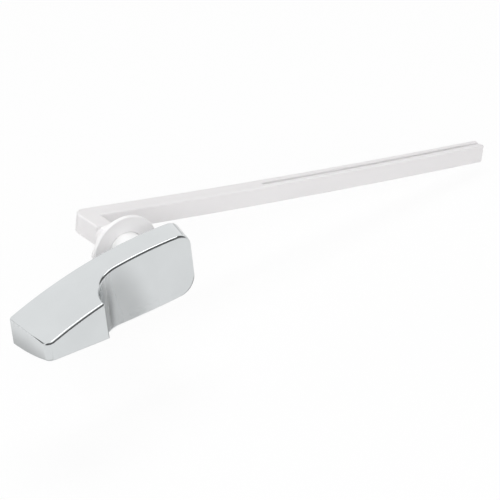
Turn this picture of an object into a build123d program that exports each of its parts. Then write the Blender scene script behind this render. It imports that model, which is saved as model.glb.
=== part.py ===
"""Front-mounted cistern lever: plated handle, bushing, lock nut and slotted lever arm.

Frame, in mm: the origin is on the shaft's axis, where the bushing's flange seats on the
outside of the cistern wall. X runs along the handle to the right, Y into the cistern and
Z up. At rest the handle is level and the arm inside droops to the right.
"""
import os
from math import asin, degrees, sqrt

from build123d import *

# Fits and gaps
running_clearance = 0.06  # radial, journal in the bore of the bushing
thread_clearance = 0.10  # radial, nut on the barrel
tang_clearance = 0.03  # each side, square tang in its socket
face_gap = 0.30  # between faces that turn past each other
wall_gap = 1.0  # rim of the handle to the cistern wall

# Bushing
flange_diameter = 20.6
flange_thickness = 3.0
barrel_diameter = 15.8
barrel_length = 19.5
barrel_chamfer = 0.8
neck_width = 16.0
neck_corner = 3.0
neck_length = 5.5
journal_diameter = 8.0

# Turning stop: a lug on the flange works in a pocket of the hub
press_angle = 32.0
stop_angle = 90.0
lug_angle = 24.0
lug_inner_radius = 6.7
lug_outer_radius = 9.2
lug_height = 2.2
stop_slack = 1.5  # degrees, at each end of the travel

# Lock nut
nut_position = 11.75  # front face of the nut behind the cistern wall's outside
nut_flange_diameter = 28.6
nut_flange_thickness = 1.8
nut_hex_width = 20.4
nut_thickness = 6.5
nut_edge = 0.4

# Handle, outside form
tip_reach = 59.1
heel_reach = 14.4
heel_flare = 2.6  # growth of the heel from the pad back to the rim
pad_height = 26.4
pad_depth = 10.9
block_depth = 25.7
block_edge_reach = 33.2
sweep_radius = 14.8
crown_radius = 178.0
belly_radius = 308.0
belly_offset = 5.8
front_edge_drop = 5.2  # lower front edge of the block, below the axis, at its right end
tip_edge_drop = 3.8  # the same edge at the tip
heel_top_corner = 6.0
heel_bottom_corner = 7.2
under_bulge = 1.0  # of the block's slanted underside
tip_corner = 3.0  # upright front edge at the tip
crease_round = 1.2
handle_wall = 2.0

# Handle, hub inside
hub_diameter = 19.4
tang_width = 5.6
tang_length = 6.0
socket_floor = 0.3
rib_thickness = 1.6

# Lever arm
arm_droop = 13.7
arm_length = 205.0
arm_height = 7.9
arm_rise = 0.9
arm_bow = 1.0
arm_setback = 36.5
root_thickness = 8.0
tip_thickness = 6.3
leg_width = 8.3
leg_start = 26.5
elbow_round = 5.5
inner_round = 1.0
end_round = 0.9
edge_round = 0.7
slot_start = 83.9
slot_width = 1.7
front_prong = 2.2
collar_diameter = 9.6

os.makedirs("parts", exist_ok=True)

# Planes and places worked out from the sizes above
rim_y = -wall_gap
pad_y = rim_y - pad_depth
front_y = rim_y - block_depth
hub_y = -flange_thickness - face_gap
collar_y = barrel_length + face_gap
arm_plan = Plane.XY.rotated((0, arm_droop, 0))
arm_side = Plane.XZ.rotated((0, arm_droop, 0))


def across(y):
    """Plane across the shaft at the given Y, facing the front."""
    return Plane.XZ.offset(-y)


def crown(x, inset=0.0):
    """Height of the handle's upper edge, an arc with its top over the shaft."""
    return pad_height / 2 - crown_radius + sqrt((crown_radius - inset) ** 2 - x**2)


def belly(x, inset=0.0):
    """Height of the handle's lower edge, a flatter arc."""
    run = x + belly_offset
    return belly_radius - pad_height / 2 - sqrt((belly_radius - inset) ** 2 - run**2)


def handle_form(inset, back_y):
    """Form of the handle set in by a wall, from its front to back_y."""
    tip_x = inset - tip_reach
    flat_y = pad_y + inset
    face_y = front_y + inset
    centre_y = pad_y - sweep_radius
    radius = sweep_radius + inset
    centre_x = sqrt(sweep_radius**2 - (front_y - centre_y) ** 2) - block_edge_reach
    turn = 90 - degrees(asin((face_y - centre_y) / radius))
    lift = (tip_edge_drop - front_edge_drop) / (block_edge_reach - tip_reach)
    heel_x = heel_reach - inset + heel_flare * (back_y - pad_y) / pad_depth
    flat_x = heel_x - heel_flare * (back_y - flat_y) / pad_depth
    with BuildPart() as form:
        with BuildSketch(across(back_y)):
            with BuildLine():
                top = ThreePointArc(
                    (tip_x, crown(tip_x, inset)),
                    (0, crown(0, inset)),
                    (heel_x, crown(heel_x, inset)),
                )
                bottom = ThreePointArc(
                    (tip_x, belly(tip_x, inset)),
                    (0, belly(0, inset)),
                    (heel_x, belly(heel_x, inset)),
                )
                Line(top @ 0, bottom @ 0)
                Line(top @ 1, bottom @ 1)
            make_face()
        extrude(amount=back_y - face_y)
        with BuildSketch():
            with BuildLine():
                sweep = CenterArc((centre_x, centre_y), radius, 90, turn)
                Polyline(
                    sweep @ 1,
                    (tip_x, face_y),
                    (tip_x, back_y),
                    (heel_x, back_y),
                    (flat_x, flat_y),
                    sweep @ 0,
                )
            make_face()
        extrude(amount=pad_height, both=True, mode=Mode.INTERSECT)
        heel_edges = form.faces().sort_by(Axis.X)[-1].edges().sort_by(Axis.Z)
        fillet(heel_edges[-1], heel_top_corner - inset)
        fillet(heel_edges[0], heel_bottom_corner - inset)
        for x, start_y in ((tip_x, rim_y), (centre_x, flat_y)):
            edge_z = inset - front_edge_drop - lift * (x + block_edge_reach)
            slope = (edge_z - belly(x, inset)) / (start_y - face_y)
            back_z = edge_z - slope * (back_y - face_y)
            with BuildSketch(Plane.YZ.offset(x)):
                with BuildLine():
                    under = ThreePointArc(
                        (face_y, edge_z),
                        ((face_y + back_y) / 2, (edge_z + back_z) / 2 - under_bulge),
                        (back_y, back_z),
                    )
                    Polyline(
                        under @ 1,
                        (back_y, edge_z - pad_height),
                        (face_y, edge_z - pad_height),
                        under @ 0,
                    )
                make_face()
        loft(ruled=True, mode=Mode.SUBTRACT)
    return form.part


# Handle: the cavity leaves the hub and ribs standing
outside = handle_form(0.0, rim_y)
inside = handle_form(handle_wall, 0.0)

with BuildPart() as cavity:
    add(inside)
    with BuildSketch(across(hub_y)):
        Circle(hub_diameter / 2)
        with Locations((-tip_reach / 2, 0)):
            Rectangle(tip_reach, rib_thickness)
        with Locations((-block_edge_reach, 0)):
            Rectangle(rib_thickness, pad_height)
    extrude(amount=block_depth, mode=Mode.SUBTRACT)

with BuildPart() as handle:
    add(outside)
    tip_edge = handle.faces().sort_by(Axis.X)[0].edges().sort_by(Axis.Y)[0]
    fillet(tip_edge, tip_corner)
    front_face, pad_face = handle.faces().filter_by(Axis.Y).sort_by(Axis.Y)[:2]
    tip_face = handle.faces().sort_by(Axis.X)[0]
    seam = pad_face.edges().sort_by(Axis.X)[0]
    sweep_face = [face for face in handle.faces() if seam in face.edges() and face != pad_face][0]
    outlines = front_face.edges() + pad_face.edges() + tip_face.edges() - [seam]
    creases = outlines.filter_by(lambda edge: edge.center().Y < rim_y - crease_round)
    fillet(creases + [sweep_face.edges().sort_by(Axis.Z)[-1]], crease_round)
    add(cavity.part, mode=Mode.SUBTRACT)
    with BuildSketch(across(hub_y)):
        Rectangle(tang_width + 2 * tang_clearance, tang_width + 2 * tang_clearance)
    extrude(amount=tang_length + socket_floor, mode=Mode.SUBTRACT)
    with BuildSketch(across(hub_y)):
        pocket_start = stop_angle - lug_angle / 2 - press_angle - stop_slack
        pocket_turn = lug_angle + press_angle + 2 * stop_slack
        with BuildLine():
            outer = CenterArc((0, 0), hub_diameter / 2 + face_gap, pocket_start, pocket_turn)
            inner = CenterArc((0, 0), lug_inner_radius - face_gap, pocket_start, pocket_turn)
            Line(outer @ 0, inner @ 0)
            Line(outer @ 1, inner @ 1)
        make_face()
    extrude(amount=lug_height, mode=Mode.SUBTRACT)
handle.part.label = "handle"
export_step(handle.part, "parts/handle.step")

# Bushing: flange under the handle, square neck, barrel and stop lug
with BuildPart() as bushing:
    with BuildSketch(across(0)):
        Circle(flange_diameter / 2)
    extrude(amount=flange_thickness)
    with BuildSketch(across(0)):
        Circle(barrel_diameter / 2)
    extrude(amount=-barrel_length)
    chamfer(bushing.edges().group_by(Axis.Y)[-1], barrel_chamfer)
    with BuildSketch(across(0)):
        RectangleRounded(neck_width, neck_width, neck_corner)
    extrude(amount=-neck_length)
    with BuildSketch(across(-flange_thickness)):
        with BuildLine():
            outer = CenterArc((0, 0), lug_outer_radius, stop_angle - lug_angle / 2, lug_angle)
            inner = CenterArc((0, 0), lug_inner_radius, stop_angle - lug_angle / 2, lug_angle)
            Line(outer @ 0, inner @ 0)
            Line(outer @ 1, inner @ 1)
        make_face()
    extrude(amount=lug_height)
    with BuildSketch(across(barrel_length)):
        Circle(journal_diameter / 2 + running_clearance)
    extrude(amount=barrel_length + flange_thickness, mode=Mode.SUBTRACT)
bushing.part.label = "bushing"
export_step(bushing.part, "parts/bushing.step")

# Lock nut: thin round flange towards the wall, hexagon behind it
with BuildPart() as lock_nut:
    with BuildSketch(across(nut_position)):
        Circle(nut_flange_diameter / 2)
    extrude(amount=-nut_flange_thickness)
    chamfer(lock_nut.edges(), nut_edge)
    with BuildSketch(across(nut_position + nut_flange_thickness / 2)):
        RegularPolygon(nut_hex_width / 2, 6, major_radius=False)
    extrude(amount=nut_flange_thickness / 2 - nut_thickness)
    with BuildSketch(across(nut_position)):
        Circle(barrel_diameter / 2 + thread_clearance)
    extrude(amount=-nut_thickness, mode=Mode.SUBTRACT)
lock_nut.part.label = "lock_nut"
export_step(lock_nut.part, "parts/lock_nut.step")

# Lever arm: plan outline and bowed side outline meet in one bar
leg_x = leg_width / 2
tip_x = arm_length - leg_x
middle_x = (tip_x - leg_x) / 2
arm_up = Axis((0, 0, 0), arm_plan.z_dir)
with BuildPart() as lever_arm:
    with BuildSketch(arm_plan) as plan:
        with BuildLine():
            Polyline(
                (-leg_x, leg_start),
                (-leg_x, arm_setback + root_thickness),
                (tip_x, arm_setback + tip_thickness),
                (tip_x, arm_setback),
                (leg_x, arm_setback),
                (leg_x, leg_start),
                close=True,
            )
        make_face()
        fillet(plan.vertices().sort_by_distance((leg_x, arm_setback))[0], inner_round)
        fillet(plan.vertices().sort_by_distance((-leg_x, arm_setback + root_thickness))[0], elbow_round)
        fillet(plan.vertices().group_by(Axis.X)[-1], end_round)
    extrude(amount=arm_height, both=True)
    with BuildSketch(arm_side.offset(-arm_setback - root_thickness)):
        with BuildLine():
            for side in (1, -1):
                end_z = arm_rise + side * arm_height / 2
                ThreePointArc((-leg_x, end_z), (middle_x, end_z - arm_bow), (tip_x, end_z))
            for x in (-leg_x, tip_x):
                Line((x, arm_rise - arm_height / 2), (x, arm_rise + arm_height / 2))
        make_face()
    extrude(amount=arm_setback + root_thickness, mode=Mode.INTERSECT)
    faces_up = lever_arm.faces().sort_by(arm_up)
    fillet(faces_up[0].edges() + faces_up[-1].edges(), edge_round)
    with BuildSketch(arm_plan):
        with Locations(((slot_start + tip_x) / 2, arm_setback + front_prong + slot_width / 2)):
            Rectangle(tip_x - slot_start, slot_width)
    extrude(amount=arm_height, both=True, mode=Mode.SUBTRACT)
    with BuildSketch(across(leg_start)):
        Circle(collar_diameter / 2)
    extrude(amount=leg_start - collar_y)
    with BuildSketch(across(collar_y)):
        Circle(journal_diameter / 2)
    extrude(amount=collar_y - hub_y)
    with BuildSketch(across(hub_y)):
        Rectangle(tang_width, tang_width)
    extrude(amount=tang_length)
lever_arm.part.label = "lever_arm"
export_step(lever_arm.part, "parts/lever_arm.step")
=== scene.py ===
"""Studio scene of a cistern lever: plated handle, white bushing, lock nut and slotted arm."""
import math

import bpy
from mathutils import Matrix, Vector

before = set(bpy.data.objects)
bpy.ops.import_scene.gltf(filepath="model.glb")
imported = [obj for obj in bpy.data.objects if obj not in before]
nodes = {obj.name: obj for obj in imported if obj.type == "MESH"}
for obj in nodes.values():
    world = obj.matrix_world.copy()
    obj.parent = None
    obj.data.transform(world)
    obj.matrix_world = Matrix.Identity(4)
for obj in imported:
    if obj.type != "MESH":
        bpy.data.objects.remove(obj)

scene = bpy.context.scene
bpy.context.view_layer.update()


# Node helpers

noise_low, noise_high = 0.3, 0.7  # nearly all of a noise lies between these


def empty_tree(owner):
    """Node tree of a material or world, with nothing in it."""
    owner.use_nodes = True
    owner.node_tree.nodes.clear()
    return owner.node_tree


def new_material(name):
    """Material with a Principled surface: the material, its tree, shader and object coordinates."""
    material = bpy.data.materials.new(name)
    tree = empty_tree(material)
    output = tree.nodes.new("ShaderNodeOutputMaterial")
    shader = tree.nodes.new("ShaderNodeBsdfPrincipled")
    tree.links.new(shader.outputs["BSDF"], output.inputs["Surface"])
    place = tree.nodes.new("ShaderNodeTexCoord")
    return material, tree, shader, place.outputs["Object"]


def noise(tree, place, scale, detail, stretch=(1, 1, 1)):
    """Noise over the object, in features per metre, stretched along an axis."""
    mapping = tree.nodes.new("ShaderNodeMapping")
    mapping.inputs["Scale"].default_value = stretch
    tree.links.new(place, mapping.inputs["Vector"])
    texture = tree.nodes.new("ShaderNodeTexNoise")
    texture.inputs["Scale"].default_value = scale
    texture.inputs["Detail"].default_value = detail
    tree.links.new(mapping.outputs["Vector"], texture.inputs["Vector"])
    return texture.outputs["Fac"]


def shades(tree, factor, tone, darkest, lightest):
    """Colour from a darker to a lighter shade of a tone as a noise goes over its range."""
    ramp = tree.nodes.new("ShaderNodeValToRGB")
    ends = zip(ramp.color_ramp.elements, (noise_low, noise_high), (darkest, lightest))
    for end, position, shade in ends:
        end.position = position
        end.color = (*(value * shade for value in tone), 1)
    tree.links.new(factor, ramp.inputs["Fac"])
    return ramp.outputs["Color"]


def spread(tree, factor, low, high):
    """Number from low to high as a noise goes over its range."""
    reach = tree.nodes.new("ShaderNodeMapRange")
    reach.inputs["From Min"].default_value = noise_low
    reach.inputs["From Max"].default_value = noise_high
    reach.inputs["To Min"].default_value = low
    reach.inputs["To Max"].default_value = high
    tree.links.new(factor, reach.inputs["Value"])
    return reach.outputs["Result"]


def bump(tree, height, depth, strength, under=None):
    """Normal from a height map of a depth in metres, over an earlier normal if there is one."""
    node = tree.nodes.new("ShaderNodeBump")
    node.inputs["Strength"].default_value = strength
    node.inputs["Distance"].default_value = depth
    tree.links.new(height, node.inputs["Height"])
    if under:
        tree.links.new(under, node.inputs["Normal"])
    return node.outputs["Normal"]


def calculate(tree, operation, value, *numbers):
    """Result of an operation on a socket and plain numbers."""
    node = tree.nodes.new("ShaderNodeMath")
    node.operation = operation
    tree.links.new(value, node.inputs[0])
    for index, number in enumerate(numbers, 1):
        node.inputs[index].default_value = number
    return node.outputs[0]


def product(tree, first, second):
    """Product of two sockets."""
    node = tree.nodes.new("ShaderNodeMath")
    node.operation = "MULTIPLY"
    tree.links.new(first, node.inputs[0])
    tree.links.new(second, node.inputs[1])
    return node.outputs[0]


def step(tree, value, start, end, top=1.0):
    """Number that goes smoothly from 0 to top as the value goes from start to end."""
    ease = tree.nodes.new("ShaderNodeMapRange")
    ease.interpolation_type = "SMOOTHSTEP"
    ease.inputs["From Min"].default_value = start
    ease.inputs["From Max"].default_value = end
    ease.inputs["To Max"].default_value = top
    tree.links.new(value, ease.inputs["Value"])
    return ease.outputs["Result"]


def overlay(tree, under, over, share):
    """Shader that goes from the one under to the one over as the share goes from 0 to 1."""
    mix = tree.nodes.new("ShaderNodeMixShader")
    tree.links.new(share, mix.inputs["Fac"])
    tree.links.new(under, mix.inputs[1])
    tree.links.new(over, mix.inputs[2])
    return mix.outputs["Shader"]


# Materials of the part

def moulded_plastic(name, tone, flow=(1, 1, 1)):
    """White moulded plastic: faint flow clouds, an uneven satin and a fine mould grain."""
    material, tree, shader, place = new_material(name)
    clouds = noise(tree, place, scale=45, detail=4, stretch=flow)
    grain = noise(tree, place, scale=2600, detail=2)
    ripple = noise(tree, place, scale=160, detail=2, stretch=flow)
    colour = shades(tree, clouds, tone, darkest=0.985, lightest=1.012)
    satin = spread(tree, ripple, low=0.36, high=0.46)
    soft = bump(tree, ripple, depth=0.00012, strength=0.10)
    fine = bump(tree, grain, depth=0.00002, strength=0.12, under=soft)
    tree.links.new(colour, shader.inputs["Base Color"])
    tree.links.new(satin, shader.inputs["Roughness"])
    tree.links.new(fine, shader.inputs["Normal"])
    shader.inputs["IOR"].default_value = 1.49
    shader.inputs["Specular IOR Level"].default_value = 0.4
    return material


def plated(name, tone):
    """Bright plating on moulded plastic: a slight waviness, faint haze and fine wipe marks."""
    material, tree, shader, place = new_material(name)
    haze = noise(tree, place, scale=70, detail=3)
    wipe = noise(tree, place, scale=900, detail=2, stretch=(0.25, 1, 1))
    wave = noise(tree, place, scale=110, detail=1)
    colour = shades(tree, haze, tone, darkest=0.975, lightest=1.02)
    tree.links.new(colour, shader.inputs["Base Color"])
    tree.links.new(spread(tree, wipe, low=0.05, high=0.08), shader.inputs["Roughness"])
    tree.links.new(bump(tree, wave, depth=0.00006, strength=0.10), shader.inputs["Normal"])
    shader.inputs["Metallic"].default_value = 1.0
    return material


def slot_painted_light(material, start_x, middle_y, half_width, tone):
    """Paler colour painted on the walls of the arm's slot, found by their place on the arm: painted
    light that lifts the shade inside the slot.
    """
    factor_in, first_in, second_in, colour_out = 0, 6, 7, 2  # the Mix node's sockets for colours
    tree = material.node_tree
    shader = tree.nodes["Principled BSDF"]
    plastic = shader.inputs["Base Color"].links[0].from_socket
    place = tree.nodes.new("ShaderNodeTexCoord").outputs["Object"]
    axes = tree.nodes.new("ShaderNodeSeparateXYZ")
    tree.links.new(place, axes.inputs[0])
    along = calculate(tree, "GREATER_THAN", axes.outputs["X"], start_x)
    across = calculate(tree, "COMPARE", axes.outputs["Y"], middle_y, half_width)
    mix = tree.nodes.new("ShaderNodeMix")
    mix.data_type = "RGBA"
    mix.inputs[second_in].default_value = (*tone, 1)
    tree.links.new(product(tree, along, across), mix.inputs[factor_in])
    tree.links.new(plastic, mix.inputs[first_in])
    tree.links.new(mix.outputs[colour_out], shader.inputs["Base Color"])
    return material


def dress(node, material):
    """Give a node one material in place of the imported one."""
    slots = nodes[node].data.materials
    slots.clear()
    slots.append(material)


arm_plastic = moulded_plastic("arm_plastic", (0.85, 0.835, 0.84), flow=(0.3, 1, 1))
# Painted light: the walls of the arm's slot are painted paler, to lift the shade inside the slot.
slot_painted_light(arm_plastic, start_x=0.0828, middle_y=0.03955, half_width=0.0009,
          tone=(0.97, 0.96, 0.963))
dress("handle", plated("plating", (0.69, 0.712, 0.72)))
dress("lever_arm", arm_plastic)
dress("lock_nut", moulded_plastic("nut_plastic", (0.94, 0.93, 0.935)))
dress("bushing", moulded_plastic("bushing_plastic", (0.92, 0.92, 0.92)))


# Floor and surroundings

def pale_floor(to_camera, to_mirrors):
    """Matt pale floor that keeps a shadow, with a share of plain white to camera and mirrors."""
    material = bpy.data.materials.new("floor_paint")
    tree = empty_tree(material)
    output = tree.nodes.new("ShaderNodeOutputMaterial")
    paint = tree.nodes.new("ShaderNodeBsdfDiffuse")
    paint.inputs["Color"].default_value = (0.94, 0.94, 0.94, 1)
    glow = tree.nodes.new("ShaderNodeEmission")
    path = tree.nodes.new("ShaderNodeLightPath")
    surface = paint.outputs["BSDF"]
    shares = {"Camera": to_camera, "Glossy": to_mirrors, "Transmission": to_camera}
    for ray, share in shares.items():
        part = calculate(tree, "MULTIPLY", path.outputs[f"Is {ray} Ray"], share)
        surface = overlay(tree, surface, glow.outputs["Emission"], part)
    tree.links.new(surface, output.inputs["Surface"])
    return material


def dark_front(tree, dark_level):
    """Level of the white room in mirrors: 1, and dark grey over the low part of its front side."""
    direction = tree.nodes.new("ShaderNodeTexCoord").outputs["Generated"]
    side = tree.nodes.new("ShaderNodeVectorMath")
    side.operation = "DOT_PRODUCT"
    side.inputs[1].default_value = (-0.174, -0.985, 0)
    tree.links.new(direction, side.inputs[0])
    axes = tree.nodes.new("ShaderNodeSeparateXYZ")
    tree.links.new(direction, axes.inputs[0])
    front = step(tree, side.outputs["Value"], start=-0.25, end=-0.05)
    above_floor = step(tree, axes.outputs["Z"], start=0.0, end=0.1)
    below_top = step(tree, axes.outputs["Z"], start=0.9, end=0.78)
    dark = product(tree, product(tree, front, above_floor), below_top)
    level = tree.nodes.new("ShaderNodeMapRange")
    level.inputs["To Min"].default_value = 1.0
    level.inputs["To Max"].default_value = dark_level
    tree.links.new(dark, level.inputs["Value"])
    return level.outputs["Result"]


def white_room(light_level, dark_level):
    """World that lights evenly and is plain white to the camera and in mirrors, dark in front."""
    world = bpy.data.worlds.new("studio")
    tree = empty_tree(world)
    output = tree.nodes.new("ShaderNodeOutputWorld")
    path = tree.nodes.new("ShaderNodeLightPath")
    light = tree.nodes.new("ShaderNodeBackground")
    light.inputs["Color"].default_value = (1, 1, 1, 1)
    light.inputs["Strength"].default_value = light_level
    surroundings = light.outputs["Background"]
    for ray in ("Camera", "Transmission", "Glossy"):
        back = tree.nodes.new("ShaderNodeBackground")
        back.inputs["Color"].default_value = (1, 1, 1, 1)
        if ray == "Glossy":
            tree.links.new(dark_front(tree, dark_level), back.inputs["Strength"])
        seen = path.outputs[f"Is {ray} Ray"]
        surroundings = overlay(tree, surroundings, back.outputs["Background"], seen)
    tree.links.new(surroundings, output.inputs["Surface"])
    return world


def painted_shadow_black(density):
    """Black of a given density in its middle, open at its rim: a painted shadow, seen only in the
    plating's reflections.
    """
    material, tree, shader, place = new_material("painted_shadow_black")
    middle = tree.nodes.new("ShaderNodeTexGradient")
    middle.gradient_type = "SPHERICAL"
    tree.links.new(place, middle.inputs["Vector"])
    cover = step(tree, middle.outputs["Fac"], start=0.0, end=0.5, top=density)
    tree.links.new(cover, shader.inputs["Alpha"])
    shader.inputs["Base Color"].default_value = (0.01, 0.01, 0.01, 1)
    shader.inputs["Roughness"].default_value = 1.0
    shader.inputs["Specular IOR Level"].default_value = 0.0
    return material


def painted_shadow_card(name, place, turn, size, density):
    """Dark sheet turned by three angles, which only the plating mirrors: a painted shadow in its
    reflections, not seen by the camera and casting no shadow.
    """
    bpy.ops.mesh.primitive_plane_add(size=2, location=place, rotation=turn)
    card = bpy.context.object
    card.name = name
    card.scale = (size[0] / 2, size[1] / 2, 1)
    card.data.materials.append(painted_shadow_black(density))
    card.visible_camera = False
    card.visible_diffuse = False
    card.visible_shadow = False


scene.world = white_room(light_level=0.32, dark_level=0.13)

floor_z = -0.056
floor_size = 12
bpy.ops.mesh.primitive_plane_add(size=floor_size, location=(0, 0, floor_z))
floor = bpy.context.object
floor.name = "studio_floor"
floor.data.materials.append(pale_floor(to_camera=0.92, to_mirrors=0.1))

net_z = floor_z + 0.0005
flat = (0, 0, 0)
quarter = math.radians(90)
along_front = (quarter, 0, 0)
along_side = (quarter, 0, quarter)
# Painted shadow in the plating's reflections: dark sheets on the floor at the right and front,
# close before the pad and beside the tip, which only the plating mirrors.
painted_shadow_card("right_painted_shadow", (0.057, 0.023, net_z), flat, (0.075, 0.196), 0.48)
painted_shadow_card("pad_painted_shadow", (-0.0205, -0.017, -0.022), along_front, (0.042, 0.08), 0.27)
painted_shadow_card("left_painted_shadow", (-0.064, -0.004, -0.026), along_side, (0.12, 0.044), 0.36)
painted_shadow_card("front_painted_shadow", (0.6, -0.75, net_z), flat, (0.9, 0.9), 0.85)
painted_shadow_card("tip_painted_shadow", (-0.0955, 0.019, 0.026), along_side, (0.02, 0.07), 0.9)


# Lamps

lamp_target = Vector((0.03, 0, 0))


def soft_lamp(name, place, size, power, mirrored):
    """Soft box of a width and height in metres and a power in watts, turned to the object."""
    data = bpy.data.lights.new(name, "AREA")
    data.shape = "RECTANGLE"
    data.size, data.size_y = size
    data.energy = power
    lamp = bpy.data.objects.new(name, data)
    lamp.location = place
    aim = lamp_target - lamp.location
    lamp.rotation_euler = aim.to_track_quat("-Z", "Y").to_euler()
    lamp.visible_glossy = mirrored
    scene.collection.objects.link(lamp)


soft_lamp("key_lamp", (-1.3, 0.4, 0.63), (0.4, 0.4), 2.0, mirrored=False)
soft_lamp("fill_lamp", (-0.9, -1.35, 1.0), (1.0, 1.0), 17.6, mirrored=False)
soft_lamp("sky_lamp", (0.1, 0.2, 1.3), (0.8, 0.8), 5.6, mirrored=False)
soft_lamp("top_lamp", (0.2, -0.05, 1.15), (0.2, 1.2), 2.25, mirrored=True)


# Camera: at the left of the front, above, rolled a little

right = Vector((0.80386354, -0.5877865, -0.09116154))
up = Vector((0.37040722, 0.37475733, 0.84991495))
ahead = Vector((0.46540508, 0.71698254, -0.51897413))
camera_place = Matrix.Translation((-0.400348, -0.690131, 0.484634))
camera_turn = Matrix((right, up, -ahead)).transposed().to_4x4()
camera_data = bpy.data.cameras.new("camera")
camera_data.sensor_width = 36
camera_data.lens = 180
camera_data.clip_start = 0.01
camera = bpy.data.objects.new("camera", camera_data)
camera.matrix_world = camera_place @ camera_turn
scene.collection.objects.link(camera)
scene.camera = camera

scene.view_settings.view_transform = "Standard"
